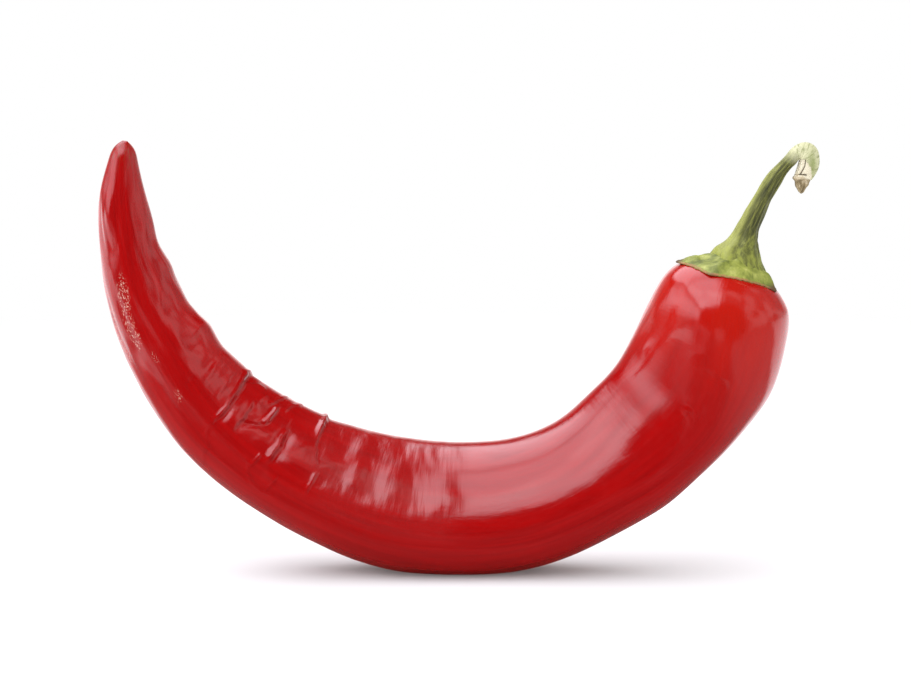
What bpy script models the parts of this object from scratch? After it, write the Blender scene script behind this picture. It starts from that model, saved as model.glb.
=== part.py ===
"""A long red chilli pepper, as picked, standing on the flattened belly of its bend.

Four solids: the fruit, the calyx that caps it, the stem with its hooked knob, and the dry stub where the stem
broke from the plant. X runs from the tip of the fruit to its stem, Y to the back and Z up. The origin is on the
surface that the pepper stands on, below the middle of its box. The tables are in millimetres.
"""

import math

import bmesh
import bpy
from mathutils import Matrix, Vector

MM = 0.001

# Clearance between touching pieces.
GAP = 0.3

# The fruit's middle line, from the crown under the calyx to the tip: x, y, z and half thickness.
FRUIT_LINE = (
    (43.8, 0.0, 49.2, 0.3),
    (43.8, 0.0, 49.1, 3.0),
    (43.7, 0.0, 48.7, 5.4),
    (43.5, 0.0, 48.1, 7.1),
    (43.2, 0.0, 47.1, 8.5),
    (42.6, 0.0, 44.9, 10.2),
    (41.4, 0.0, 39.9, 11.3),
    (39.2, 0.0, 34.4, 11.5),
    (35.0, -0.1, 27.3, 11.1),
    (29.1, -0.2, 21.6, 10.6),
    (20.7, -0.3, 15.2, 10.35),
    (10.8, -0.2, 11.0, 10.6),
    (0.6, 0.0, 9.9, 10.65),
    (-10.3, 0.1, 10.9, 10.6),
    (-20.5, 0.2, 14.2, 9.9),
    (-30.2, 0.3, 19.1, 9.1),
    (-38.6, 0.5, 25.7, 8.2),
    (-45.1, 0.7, 34.1, 7.2),
    (-50.0, 0.9, 43.5, 6.05),
    (-52.7, 1.1, 53.6, 4.6),
    (-53.5, 1.2, 61.5, 3.4),
    (-53.3, 1.2, 66.0, 2.3),
    (-53.1, 1.2, 68.3, 1.4),
    (-53.0, 1.2, 69.2, 0.4),
)
FRUIT_SIDES = 28
FRUIT_STEPS = 3

# The crown's frame: the calyx stands on this point, along an axis that leans to +X.
CROWN = Vector((42.9, 0.0, 48.2))
CROWN_LEAN = math.radians(16.5)
CROWN_AXIS = Vector((math.sin(CROWN_LEAN), 0.0, math.cos(CROWN_LEAN)))

# The calyx: TEETH are the angles and lengths of the points on its rim, and each droops by TOOTH_DROOP of its length.
# The rings run from a round top to the rim, as (share of the rim's outline, height). The top's centre is a little to
# the +X side of the rim's.
RIM_RADIUS = 7.0
TEETH = ((-178, 1.2), (-114, 0.9), (-20, 1.5), (33, 1.1), (82, 0.9), (130, 1.2))
TOOTH_WIDTH = math.radians(17)
TOOTH_DROOP = 0.7
CALYX_TOP_RADIUS = 3.95
CALYX_TOP_SHIFT = 0.9
CALYX_RINGS = ((0.0, 2.7), (0.3, 2.05), (0.65, 1.4), (1.0, 0.85))
CALYX_DEPTH = 3.5
CALYX_SIDES = 72

# The stem's middle line, from its foot on the calyx to the top of the hook: x, y, z and half thickness.
STEM_LINE = (
    (44.65, 0.0, 50.85, 3.65),
    (44.9, 0.0, 51.7, 2.95),
    (45.4, -0.1, 53.4, 2.1),
    (46.4, -0.2, 56.0, 1.7),
    (48.3, -0.3, 60.4, 1.42),
    (50.2, -0.4, 63.8, 1.28),
    (51.9, -0.5, 66.0, 1.27),
    (53.5, -0.6, 67.3, 1.4),
    (54.9, -0.7, 67.7, 1.3),
)
STEM_SIDES = 16
STEM_STEPS = 3

# The swollen knob that the stem hooks over into. It ends in a torn face that looks down and to -X.
KNOB_CENTRE = Vector((55.45, -0.7, 65.95))
KNOB_RADII = Vector((2.0, 1.9, 3.35))
KNOB_TURN = math.radians(4)
TORN_POINT = Vector((54.8, -0.7, 63.25))
TORN_TURN = math.radians(29)
TORN_BLOCK = (4.4, 8.0, 8.0)

# The dry stub beneath the torn face.
STUB_CENTRE = Vector((54.45, -0.9, 62.85))
STUB_TOP_RADIUS = 1.6
STUB_TIP_RADIUS = 0.55
STUB_LENGTH = 3.4
STUB_SIDES = 8

# What is cut off below Z 0 leaves the flat patch on the belly.
TABLE_SIZE = (60.0, 40.0, 10.0)

# Name: base colour, roughness.
MATERIALS = {
    "red_skin": ((0.62, 0.012, 0.010, 1.0), 0.22),
    "green_cap": ((0.30, 0.38, 0.09, 1.0), 0.55),
    "green_stem": ((0.27, 0.33, 0.08, 1.0), 0.5),
    "dry_wood": ((0.45, 0.40, 0.28, 1.0), 0.85),
}


def clear_scene():
    for obj in list(bpy.data.objects):
        bpy.data.objects.remove(obj)


def new_collection(name):
    collection = bpy.data.collections.new(name)
    bpy.context.scene.collection.children.link(collection)
    return collection


def make_material(name):
    colour, roughness = MATERIALS[name]
    material = bpy.data.materials.new(name)
    material.use_nodes = True
    shader = material.node_tree.nodes["Principled BSDF"]
    shader.inputs["Base Color"].default_value = colour
    shader.inputs["Roughness"].default_value = roughness
    shader.inputs["Metallic"].default_value = 0.0
    return material


def add_body(name, body, collection, material=None, place=None):
    """Makes an object of the bmesh, at place, and frees the bmesh."""
    mesh = bpy.data.meshes.new(name)
    body.to_mesh(mesh)
    body.free()
    if material:
        mesh.materials.append(material)
        mesh.shade_smooth()
        mesh.set_sharp_from_angle(angle=math.radians(40))
    obj = bpy.data.objects.new(name, mesh)
    collection.objects.link(obj)
    if place:
        obj.matrix_world = place
    return obj


def add_block(name, size, place, collection):
    body = bmesh.new()
    bmesh.ops.create_cube(body, size=MM)
    bmesh.ops.scale(body, vec=size, verts=body.verts)
    return add_body(name, body, collection, place=place)


def tube(name, line, sides, steps, collection, material=None, grow=0.0):
    """A closed round tube along a line of (x, y, z, half thickness), as a mesh. grow thickens it all over."""
    curve = bpy.data.curves.new(name, "CURVE")
    curve.dimensions = "3D"
    curve.twist_mode = "MINIMUM"
    curve.resolution_u = steps
    curve.bevel_depth = MM
    curve.bevel_resolution = (sides - 4) // 2
    curve.use_fill_caps = True
    spline = curve.splines.new("BEZIER")
    spline.radius_interpolation = "CARDINAL"
    spline.bezier_points.add(len(line) - 1)
    for point, (x, y, z, half) in zip(spline.bezier_points, line):
        point.co = Vector((x, y, z)) * MM
        point.radius = half + grow
        point.handle_left_type = point.handle_right_type = "AUTO"
    guide = bpy.data.objects.new(name + "_line", curve)
    collection.objects.link(guide)
    graph = bpy.context.evaluated_depsgraph_get()
    loose = bpy.data.meshes.new_from_object(guide.evaluated_get(graph))
    place = guide.matrix_world.copy()
    bpy.data.objects.remove(guide)

    # The caps come loose from the sides, and are welded to them.
    body = bmesh.new()
    body.from_mesh(loose)
    bpy.data.meshes.remove(loose)
    bmesh.ops.remove_doubles(body, verts=body.verts, dist=0.01 * MM)
    bmesh.ops.recalc_face_normals(body, faces=body.faces)
    return add_body(name, body, collection, material, place)


def boolean(obj, operation, other):
    modifier = obj.modifiers.new(operation.lower() + "_" + other.name, "BOOLEAN")
    modifier.operation = operation
    modifier.object = other
    modifier.solver = "EXACT"


def as_cutter(obj):
    obj.hide_render = True
    obj.display_type = "WIRE"
    return obj


def tooth_reach(angle):
    """How far the calyx's teeth stand out past its round rim."""
    reach = 0.0
    for tooth, length in TEETH:
        away = abs(math.remainder(angle - math.radians(tooth), math.tau)) / TOOTH_WIDTH
        reach += length * math.exp(-(away**1.4))
    return reach


def calyx_ring(body, share, height):
    """One ring of the calyx: share 0 is its round top, 1 is its toothed rim."""
    ring = []
    for i in range(CALYX_SIDES):
        angle = math.tau * i / CALYX_SIDES
        reach = tooth_reach(angle)
        radius = (1 - share) * CALYX_TOP_RADIUS + share * (RIM_RADIUS + reach)
        x = radius * math.cos(angle) + (1 - share) * CALYX_TOP_SHIFT
        z = height - share * TOOTH_DROOP * reach
        ring.append(body.verts.new(Vector((x, radius * math.sin(angle), z)) * MM))
    return ring


def calyx(fruit_space, collection, material):
    """A cap lofted from its round top to its toothed rim, and hollowed over the crown."""
    body = bmesh.new()
    rings = [calyx_ring(body, *ring) for ring in CALYX_RINGS]
    rings.append(calyx_ring(body, 1.0, -CALYX_DEPTH))
    for high, low in zip(rings, rings[1:]):
        for i in range(CALYX_SIDES):
            j = (i + 1) % CALYX_SIDES
            body.faces.new((low[i], low[j], high[j], high[i]))
    body.faces.new(rings[0])
    body.faces.new(list(reversed(rings[-1])))
    place = Matrix.Translation(CROWN * MM) @ Matrix.Rotation(CROWN_LEAN, 4, "Y")
    obj = add_body("calyx", body, collection, material, place)
    boolean(obj, "DIFFERENCE", fruit_space)


def knob(collection):
    """The ellipsoid that the stem ends in."""
    body = bmesh.new()
    bmesh.ops.create_uvsphere(body, u_segments=20, v_segments=12, radius=MM)
    bmesh.ops.scale(body, vec=KNOB_RADII, verts=body.verts)
    place = Matrix.Translation(KNOB_CENTRE * MM) @ Matrix.Rotation(KNOB_TURN, 4, "Y")
    return as_cutter(add_body("knob", body, collection, place=place))


def below_torn_face(name, drop, collection):
    """A block whose top is the knob's torn face, lowered by drop."""
    place = Matrix.Translation(TORN_POINT * MM) @ Matrix.Rotation(TORN_TURN, 4, "Y")
    down = Matrix.Translation(Vector((0.0, 0.0, -drop - 0.5 * TORN_BLOCK[2])) * MM)
    return as_cutter(add_block(name, TORN_BLOCK, place @ down, collection))


def stem(cutters, collection, material):
    """The tube from its foot on the calyx, over the hook and into the knob."""
    obj = tube("stem", STEM_LINE, STEM_SIDES, STEM_STEPS, collection, material)
    boolean(obj, "UNION", knob(cutters))
    boolean(obj, "DIFFERENCE", below_torn_face("torn_away", 0.0, cutters))


def stub(cutters, collection, material):
    """A tapered splinter of dry wood, hanging just clear of the torn face."""
    body = bmesh.new()
    bmesh.ops.create_cone(
        body,
        cap_ends=True,
        segments=STUB_SIDES,
        radius1=STUB_TIP_RADIUS * MM,
        radius2=STUB_TOP_RADIUS * MM,
        depth=STUB_LENGTH * MM,
    )
    obj = add_body("stub", body, collection, material, Matrix.Translation(STUB_CENTRE * MM))
    boolean(obj, "INTERSECT", below_torn_face("stub_space", GAP, cutters))


def table(collection):
    """The block below the pepper that flattens its belly."""
    down = Matrix.Translation(Vector((0.0, 0.0, -0.5 * TABLE_SIZE[2] * MM)))
    return as_cutter(add_block("table", TABLE_SIZE, down, collection))


def build():
    clear_scene()
    pepper = new_collection("chilli_pepper")
    cutters = new_collection("cutters")
    material = {name: make_material(name) for name in MATERIALS}

    fruit = tube("fruit", FRUIT_LINE, FRUIT_SIDES, FRUIT_STEPS, pepper, material["red_skin"])
    boolean(fruit, "DIFFERENCE", table(cutters))
    fruit_space = as_cutter(tube("fruit_space", FRUIT_LINE, FRUIT_SIDES, FRUIT_STEPS, cutters, grow=GAP))
    fruit_space.location = CROWN_AXIS * GAP * MM
    calyx(fruit_space, pepper, material["green_cap"])
    stem(cutters, pepper, material["green_stem"])
    stub(cutters, pepper, material["dry_wood"])


build()
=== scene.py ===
"""The looks of a long red chilli pepper, standing on the belly of its bend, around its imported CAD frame.

Each CAD piece is replaced by a finer skin of the same place and size: the fruit with its wrinkles, the
ragged calyx, the ribbed stem with its torn knob, and the dry stub. X runs from the tip of the fruit to its
stem, Y to the back and Z up. Lengths are in millimetres until a mesh is made.
"""

import math

import bpy
import numpy as np
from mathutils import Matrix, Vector
from mathutils.bvhtree import BVHTree

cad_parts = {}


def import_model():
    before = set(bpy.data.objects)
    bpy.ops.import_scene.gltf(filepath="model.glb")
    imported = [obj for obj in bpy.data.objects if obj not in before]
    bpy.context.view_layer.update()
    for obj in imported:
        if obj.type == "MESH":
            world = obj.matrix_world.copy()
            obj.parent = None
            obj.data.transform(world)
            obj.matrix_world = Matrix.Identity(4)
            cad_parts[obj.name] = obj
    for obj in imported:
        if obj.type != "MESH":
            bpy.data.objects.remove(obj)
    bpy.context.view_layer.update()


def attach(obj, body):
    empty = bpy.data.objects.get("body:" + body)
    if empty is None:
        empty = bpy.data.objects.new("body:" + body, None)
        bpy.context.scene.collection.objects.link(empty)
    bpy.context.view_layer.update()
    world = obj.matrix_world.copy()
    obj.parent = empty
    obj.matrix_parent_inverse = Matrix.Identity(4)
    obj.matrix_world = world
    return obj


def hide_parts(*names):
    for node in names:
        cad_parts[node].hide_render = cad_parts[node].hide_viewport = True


MM = 0.001

# The camera looks along +Y and down.
VIEW_TILT = math.radians(8)
VIEW_DISTANCE = 600.0
VIEW_TARGET = (-0.4, 0.0, 37.15)
VIEW_LENS = 148.2

# The fruit's middle line, from the crown under the calyx to the tip: x, y, z and half thickness.
FRUIT_LINE = (
    (43.8, 0, 49.2, 0.3),
    (43.8, 0, 49.1, 3),
    (43.7, 0, 48.7, 5.4),
    (43.5, 0, 48.1, 7.1),
    (43.2, 0, 47.1, 8.5),
    (42.6, 0, 44.9, 10.2),
    (41.4, 0, 39.9, 11.3),
    (39.2, 0, 34.4, 11.5),
    (35, -0.1, 27.3, 11.1),
    (29.1, -0.2, 21.6, 10.6),
    (20.7, -0.3, 15.2, 10.35),
    (10.8, -0.2, 11, 10.6),
    (0.6, 0, 9.9, 10.65),
    (-10.3, 0.1, 10.9, 10.6),
    (-20.5, 0.2, 14.2, 9.9),
    (-30.2, 0.3, 19.1, 9.1),
    (-38.6, 0.5, 25.7, 8.2),
    (-45.1, 0.7, 34.1, 7.2),
    (-50, 0.9, 43.5, 6.05),
    (-52.7, 1.1, 53.6, 4.6),
    (-53.5, 1.2, 61.5, 3.4),
    (-53.3, 1.2, 66, 2.3),
    (-53.1, 1.2, 68.3, 1.4),
    (-53, 1.2, 69.2, 0.4),
)
FRUIT_RINGS = 520
FRUIT_SIDES = 184

# Where the rings lie closer, on the creased part: where it sets in and stops, in x, and how much closer.
CREASES_START = (-42, -34)
CREASES_STOP = (6, -6)
CREASES_CROWDING = 1.1


# ---- numbers


def curve_through(knots, count, crowding=None):
    """Points on a natural cubic spline through the knots, evenly spaced unless crowding asks for more.

    crowding takes the points' coordinates and returns how closely they should lie, 1 being plain.
    """
    knots = np.array(knots, float)
    at = travelled(knots)
    step = np.diff(at)
    n = len(knots)
    matrix = np.eye(n)
    right = np.zeros_like(knots)
    for i in range(1, n - 1):
        matrix[i, i - 1 : i + 2] = step[i - 1], 2 * (step[i - 1] + step[i]), step[i]
        right[i] = 6 * ((knots[i + 1] - knots[i]) / step[i] - (knots[i] - knots[i - 1]) / step[i - 1])
    bend = np.linalg.solve(matrix, right)

    def read(t):
        i = np.clip(np.searchsorted(at, t) - 1, 0, n - 2)
        h = step[i][:, None]
        a = (at[i + 1] - t)[:, None] / h
        b = 1 - a
        return a * knots[i] + b * knots[i + 1] + ((a**3 - a) * bend[i] + (b**3 - b) * bend[i + 1]) * h * h / 6

    dense = np.linspace(0, at[-1], 4000)
    points = read(dense)
    weight = np.linalg.norm(np.diff(points, axis=0), axis=1)
    if crowding is not None:
        weight = weight * crowding(points[:-1])
    length = np.concatenate([[0.0], np.cumsum(weight)])
    return read(np.interp(np.linspace(0, length[-1], count), length, dense))


def unit(v):
    return v / np.maximum(np.linalg.norm(v, axis=-1, keepdims=True), 1e-12)


def angles(count):
    return np.linspace(0, math.tau, count, endpoint=False)


def smooth(x, low, high):
    t = np.clip((x - low) / (high - low), 0, 1)
    return t * t * (3 - 2 * t)


def window(x, rise, fall):
    """1 between a rise and a fall, and 0 outside them, each given by where it is 0 and where it is 1."""
    return smooth(x, *rise) * smooth(x, *fall)


def travelled(points):
    """How far along their line the points are."""
    return np.concatenate([[0.0], np.cumsum(np.linalg.norm(np.diff(points, axis=0), axis=1))])


def bump(x, centre, width):
    return np.exp(-(((x - centre) / width) ** 2))


def ripple(points, size, seed, count=28):
    """A smooth random field of about -1 to 1 over the points, with lumps of about this size."""
    rng = np.random.default_rng(seed)
    size = np.broadcast_to(np.asarray(size, float), (3,))
    total = np.zeros(points.shape[:-1])
    for _ in range(count):
        direction = rng.normal(size=3)
        wave = direction / np.linalg.norm(direction) * rng.uniform(0.6, 1.4) * math.pi / size
        total += np.sin(points @ wave + rng.uniform(0, math.tau))
    # The sum's spread is the root of half the count, and its peaks are near 1.6 times that.
    return total * math.sqrt(2 / count) / 1.6


def grid_normals(points):
    """Outward normals of a closed grid of rings x sides x 3."""
    along = np.gradient(points, axis=0)
    around = np.roll(points, -1, axis=1) - np.roll(points, 1, axis=1)
    normals = unit(np.cross(along, around))
    outward = np.einsum("ijk,ijk->", normals, points - points.mean(1, keepdims=True))
    return normals * np.sign(outward)


def add_object(name, data):
    obj = bpy.data.objects.new(name, data)
    bpy.context.scene.collection.objects.link(obj)
    return obj


def grid_mesh(name, points, material, values):
    """A mesh of a grid of rings x sides x 3, in mm, its ends closed by fans, with values at its points."""
    rings, sides = points.shape[:2]
    verts = points.reshape(-1, 3)
    index = np.arange(rings * sides).reshape(rings, sides)
    right = np.roll(index, -1, axis=1)
    faces = np.stack([index[:-1], index[1:], right[1:], right[:-1]], -1).reshape(-1, 4).tolist()
    values = {key: value.reshape(len(verts), -1) for key, value in values.items()}
    for at, ring, flip in ((0, index[0], False), (-1, index[-1], True)):
        verts = np.vstack([verts, points[at].mean(0)])
        values = {key: np.vstack([value, value[ring].mean(0)]) for key, value in values.items()}
        tip = len(verts) - 1
        for a, b in zip(ring.tolist(), np.roll(ring, -1).tolist()):
            faces.append((a, tip, b) if flip else (b, tip, a))
    if signed_volume(verts, faces) < 0:
        faces = [face[::-1] for face in faces]
    mesh = bpy.data.meshes.new(name)
    mesh.from_pydata((verts * MM).tolist(), [], faces)
    mesh.materials.append(material)
    mesh.shade_smooth()
    for key, value in values.items():
        kind, field = ("FLOAT_VECTOR", "vector") if value.shape[1] == 3 else ("FLOAT", "value")
        mesh.attributes.new(key, kind, "POINT").data.foreach_set(field, value.ravel())
    return add_object(name, mesh)


def signed_volume(verts, faces):
    corners = np.array([(f[0], f[i], f[i + 1]) for f in faces for i in range(1, len(f) - 1)])
    a, b, c = (verts[corners[:, i]] for i in range(3))
    return np.einsum("ij,ij->", a, np.cross(b, c)) / 6


# ---- fruit shape


def seen(points):
    """Where points appear on the front: across and up, in mm at the pepper's own plane."""
    return np.stack([points[..., 0], points[..., 2] + points[..., 1] * math.tan(VIEW_TILT)], -1)


def fruit_grid():
    """The bare fruit: sections along its middle line, with no wrinkles."""

    def crowding(p):
        return 1 + CREASES_CROWDING * window(p[:, 0], CREASES_START, CREASES_STOP)

    line = curve_through(FRUIT_LINE, FRUIT_RINGS, crowding)
    centre, half = line[:, :3], line[:, 3, None]
    run = unit(np.gradient(centre, axis=0))
    side = unit(np.array([0.0, 1.0, 0.0]) - run * run[:, 1:2])
    inward = np.cross(side, run)
    travel = travelled(centre)
    facing, front, height = sections(travel)
    forward = side[:, None] * (front * half)[..., None]
    points = centre[:, None] - forward + inward[:, None] * (height * half)[..., None]
    return points, travel, facing


# The fruit's sections along its length. Each row has the distance from the crown, and then the way that each
# of the three flatter sides faces and how flat it is. Angles run from 0 at the front to 90 inside the bend.
SECTIONS = (
    (0, 50, 0, -75, 0, 185, 0),
    (10, 50, 0.6, -75, 0.5, 185, 0.5),
    (15, 42, 1.5, -60, 1.5, 185, 1),
    (22, 30, 4.5, -75, 2.5, 185, 2),
    (32, 34, 5, -75, 2.5, 185, 2.5),
    (42, 45, 4, -70, 2.5, 185, 3),
    (60, 50, 4, -75, 2, 185, 3),
    (80, 50, 3, -75, 2, 185, 2),
    (100, 50, 1.5, -75, 1, 185, 1),
    (120, 50, 0.5, -75, 0.5, 185, 0.5),
    (160, 50, 0, -75, 0, 185, 0),
)
SIDE_WIDTH = math.radians(32)

# The rows blend over this far to each side, and a section first has this many steps.
SECTION_BLEND = 6
SECTION_STEPS = 720


def sections(travel):
    """The way each point of each ring faces, and its place frontward and inward, in half thicknesses."""
    table = np.array(SECTIONS, float).T
    blend = travel[:, None] + np.linspace(-SECTION_BLEND, SECTION_BLEND, 13)
    row = [np.interp(blend, table[0], column).mean(1, keepdims=True) for column in table[1:]]
    facing = (np.arange(SECTION_STEPS) + 0.5) * math.tau / SECTION_STEPS - math.pi
    bend = np.ones((len(travel), SECTION_STEPS))
    for turn, flatness in zip(row[0::2], row[1::2]):
        gap = (facing - np.radians(turn) + math.pi) % math.tau - math.pi
        bend = bend + flatness * np.exp(-((gap / SIDE_WIDTH) ** 2))
    for wave in (np.cos(facing), np.sin(facing)):
        bend = bend - wave * (bend * wave).mean(1, keepdims=True) * 2
    front = np.cumsum(-bend * np.sin(facing), axis=1)
    height = np.cumsum(bend * np.cos(facing), axis=1)
    reach = 0.5 * (height.max(1) - height.min(1))[:, None]
    height = (height - 0.5 * (height.max(1) + height.min(1))[:, None]) / reach
    front = (front - 0.5 * (front.max(1) + front.min(1))[:, None]) / reach

    # Points lie closer together on the front.
    closeness = np.cumsum(bend * (1 + 1.2 * smooth(np.cos(facing + 0.15), -0.1, 0.4)), axis=1)
    closeness = closeness / closeness[:, -1:]
    share = np.arange(FRUIT_SIDES) / FRUIT_SIDES
    out = np.empty((3, len(travel), FRUIT_SIDES))
    for i, ring in enumerate(closeness):
        for k, values in enumerate((facing, front[i], height[i])):
            out[k, i] = np.interp(share, ring, values)
    return out


# Folds, as shingles: the skin on the left ends in a lip, drops, and recovers to the right. Each has its path
# from top to bottom, across and up, then its lip's height and width, its drop's depth and width, and the
# length in which the skin recovers.
FOLDS = (
    # the main fold, across the whole front
    (
        ((-32.6, 34), (-34.2, 31.4), (-35.5, 28.8), (-36.8, 26.6), (-38.2, 25), (-39.4, 24)),
        *(0.18, 0.3, 0.62, 0.5, 1.3),
    ),
    (((-39.4, 23.8), (-39.9, 21.8), (-39.5, 20.4), (-40.3, 19.4), (-40.5, 17.2)), 0.07, 0.3, 0.1, 0.25, 0.8),
    # faint folds to its left
    (((-37.4, 35.2), (-39.2, 32.2), (-40.6, 30)), 0.07, 0.35, 0.06, 0.3, 0.9),
    (((-35.4, 33), (-37, 30.2), (-38.6, 27.6)), 0.07, 0.35, 0.07, 0.3, 0.8),
    (((-36.6, 34.4), (-38.4, 31.2)), 0.05, 0.25, 0.04, 0.3, 0.6),
    (((-41, 39.8), (-42.2, 37.4)), 0.08, 0.5, 0.1, 0.3, 1.2),
    # the hooked fold and its branch
    (((-32.7, 27.9), (-33.4, 26.2), (-34.6, 24.6), (-36, 22.8)), 0.02, 0.3, 0.38, 0.4, 0.8),
    (((-30.2, 24.6), (-31.8, 24.2), (-33.2, 24.6), (-34.2, 25.2)), 0.04, 0.3, 0.26, 0.4, 0.8),
    # the rounded top of the flat panel between them
    (
        (
            *((-36.2, 26.6), (-35.2, 28.8), (-34.4, 30.4), (-33.4, 30.6)),
            *((-32, 30.2), (-31, 29.6), (-30.7, 28.4)),
        ),
        *(0.02, 0.3, 0.2, 0.3, 0.6),
    ),
    # the gouges
    (((-28.6, 26.8), (-29.6, 25.2), (-30.9, 23.8)), 0.3, 0.5, 0.28, 0.3, 0.8),
    (((-27.2, 23.2), (-28.2, 20.9), (-29.3, 19.4), (-30.6, 17.6)), 0.34, 0.6, 0.3, 0.5, 1.3),
    (((-31.2, 19.4), (-31.9, 18.3), (-33, 17.2)), 0.16, 0.35, 0.16, 0.3, 0.7),
    (((-33, 17.8), (-33.4, 16.2), (-32.6, 14.4), (-31.2, 13.2), (-29.6, 12.4)), 0.1, 0.25, 0.12, 0.3, 0.6),
    (((-28.6, 16), (-29.4, 14.4), (-30.8, 13.1)), 0.08, 0.25, 0.1, 0.3, 0.5),
    # lips near the inside of the bend
    (((-27, 28.6), (-28.6, 27.9), (-30.4, 26.8)), 0.12, 0.35, 0.14, 0.25, 0.6),
    (((-24.4, 27.4), (-26.2, 26.9), (-27.8, 26)), 0.1, 0.35, 0.1, 0.25, 0.6),
    # the right fold, that notches the inside of the bend
    (((-20.2, 27), (-21.3, 24.8), (-21.9, 23.2), (-22.6, 21.8)), 0.34, 0.5, 0.3, 0.4, 1.8),
    (((-22.4, 22.6), (-22.7, 20.8), (-22.7, 18.8), (-22.3, 16.8)), 0.05, 0.3, 0.18, 0.3, 1.5),
    (((-22.2, 16.4), (-23.2, 14.6), (-24.4, 12.6)), 0.14, 0.35, 0.12, 0.3, 0.7),
    # on the stem's side
    (((38.6, 32.6), (40.3, 31.6), (42, 30.4), (42.2, 29)), 0.12, 0.35, 0.14, 0.35, 0.6),
    (((35.4, 26.6), (36.6, 25.9), (38, 24.2)), 0.1, 0.35, 0.1, 0.3, 0.6),
    (((46.2, 43.2), (45.7, 42.2), (44.4, 41.5)), 0.02, 0.12, 0.04, 0.1, 0.15),
)

# The same for the far side, as across and up of that side's own skin.
BACK_FOLDS = (
    (((-31.4, 34.6), (-33.4, 31), (-35, 27), (-37, 23.8)), 0.18, 0.4, 0.34, 0.4, 1.6),
    (((-26.2, 28.8), (-28, 25.2), (-28.6, 21.6), (-30.2, 18.4)), 0.22, 0.5, 0.22, 0.4, 1.3),
    (((-21, 26.4), (-22, 22.6), (-21.6, 19.4), (-22.6, 16)), 0.2, 0.5, 0.2, 0.4, 1.4),
    (((-36.2, 35), (-38.6, 31.4), (-40, 27.8)), 0.08, 0.35, 0.08, 0.3, 0.9),
    (((-15.6, 23), (-16.4, 19), (-16, 15.4)), 0.14, 0.6, 0.12, 0.5, 1.6),
    (((-8.4, 21.4), (-9.2, 17.6), (-9, 14)), 0.1, 0.7, 0.1, 0.5, 1.6),
    (((37.6, 36), (39.4, 33.6), (40.2, 30.8)), 0.12, 0.5, 0.14, 0.4, 0.9),
    (((-50.4, 53), (-51.2, 48.4), (-50.8, 44.4)), 0.06, 0.5, 0.08, 0.4, 0.9),
)

# Leaning patches on the front: across, up, two reaches, how much they rise to the right, and how sharply
# they end.
LEANING = (
    (-16.5, 20.5, 2.6, 2, 0.17, 1.5),
    (-11.8, 20.3, 2.2, 2, 0.08, 1.5),
    (-7.4, 20, 2.2, 1.8, 0.06, 1.6),
    (-4.5, 19, 1, 1.8, 0.09, 1.6),
    (-1.6, 19.2, 2, 1.8, 0.05, 2),
    (-17.3, 15.7, 2.2, 1.8, 0.26, 1.7),
    (-20.1, 14.9, 1.7, 1.4, 0.15, 1.6),
    (-12.1, 14.6, 3.1, 2.7, 0.17, 1.8),
    (-4.6, 12.8, 4, 2.7, 0.13, 2.6),
)


def leaning_relief(at, patch):
    """A rise to the right across the patch's middle, that falls away past its edges, with wandering edges."""
    x, y, wide, tall, slope, end = patch
    across = (at[..., 0] - x + 0.30 * np.sin(1.2 * at[..., 1] + 2 * x)) / wide
    up = (at[..., 1] - y + 0.35 * np.sin(1.1 * at[..., 0] + y) + 0.12 * np.sin(3.7 * at[..., 0])) / tall
    crest = 1 / math.sqrt(2)
    rise = across * np.exp(-(across**2))
    past = np.maximum(np.abs(across) - crest, 0) * end
    fall = crest * math.exp(-0.5) * np.exp(-(past**2)) * np.sign(across)
    return slope * wide * np.where(past > 0, fall, rise) * np.exp(-(np.abs(up) ** 3))


def path_distance(at, path):
    """Signed distance to a path that runs down, + to its right, and how far along it that is, 0 to 1."""
    path = np.array(path, float)
    starts = travelled(path)
    lengths = np.diff(starts)
    best = np.full(at.shape[:-1], 1e9)
    signed = np.zeros_like(best)
    along = np.zeros_like(best)
    for a, b, length, start in zip(path[:-1], path[1:], lengths, starts):
        run = (b - a) / length
        rel = at - a
        t = np.clip(rel @ run, 0, length)
        distance = np.linalg.norm(rel - t[..., None] * run, axis=-1)
        side = rel[..., 1] * run[0] - rel[..., 0] * run[1]
        near = distance < best
        best = np.where(near, distance, best)
        signed = np.where(near, np.where(side > 0, distance, -distance), signed)
        along = np.where(near, (start + t) / starts[-1], along)
    return signed, along


def fade_ends(along):
    """A path's strength along it: weaker at its ends."""
    return window(along, (-0.05, 0.22), (1.05, 0.75))


def fold_relief(at, fold):
    path, lip, lip_width, drop, drop_width, recovery = fold
    signed, along = path_distance(at, path)
    left = np.minimum(signed, 0)
    right = np.maximum(signed, 0)
    raised = lip * np.exp(-((left / lip_width) ** 2) - (right / drop_width) ** 2)
    sunk = drop * np.exp(-right / recovery) * (1 - np.exp(-((right / drop_width) ** 2)))
    return fade_ends(along) * (raised - sunk)


def groove_shade(at, fold):
    """How much shade is painted beside a fold's lip, more where the skin drops deeper, 0 to 1."""
    path, _, _, drop, drop_width, _ = fold
    signed, along = path_distance(at, path)
    middle = 0.7 * drop_width
    return fade_ends(along) * min(drop * 2.5, 1) * bump(signed, middle, middle)


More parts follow.
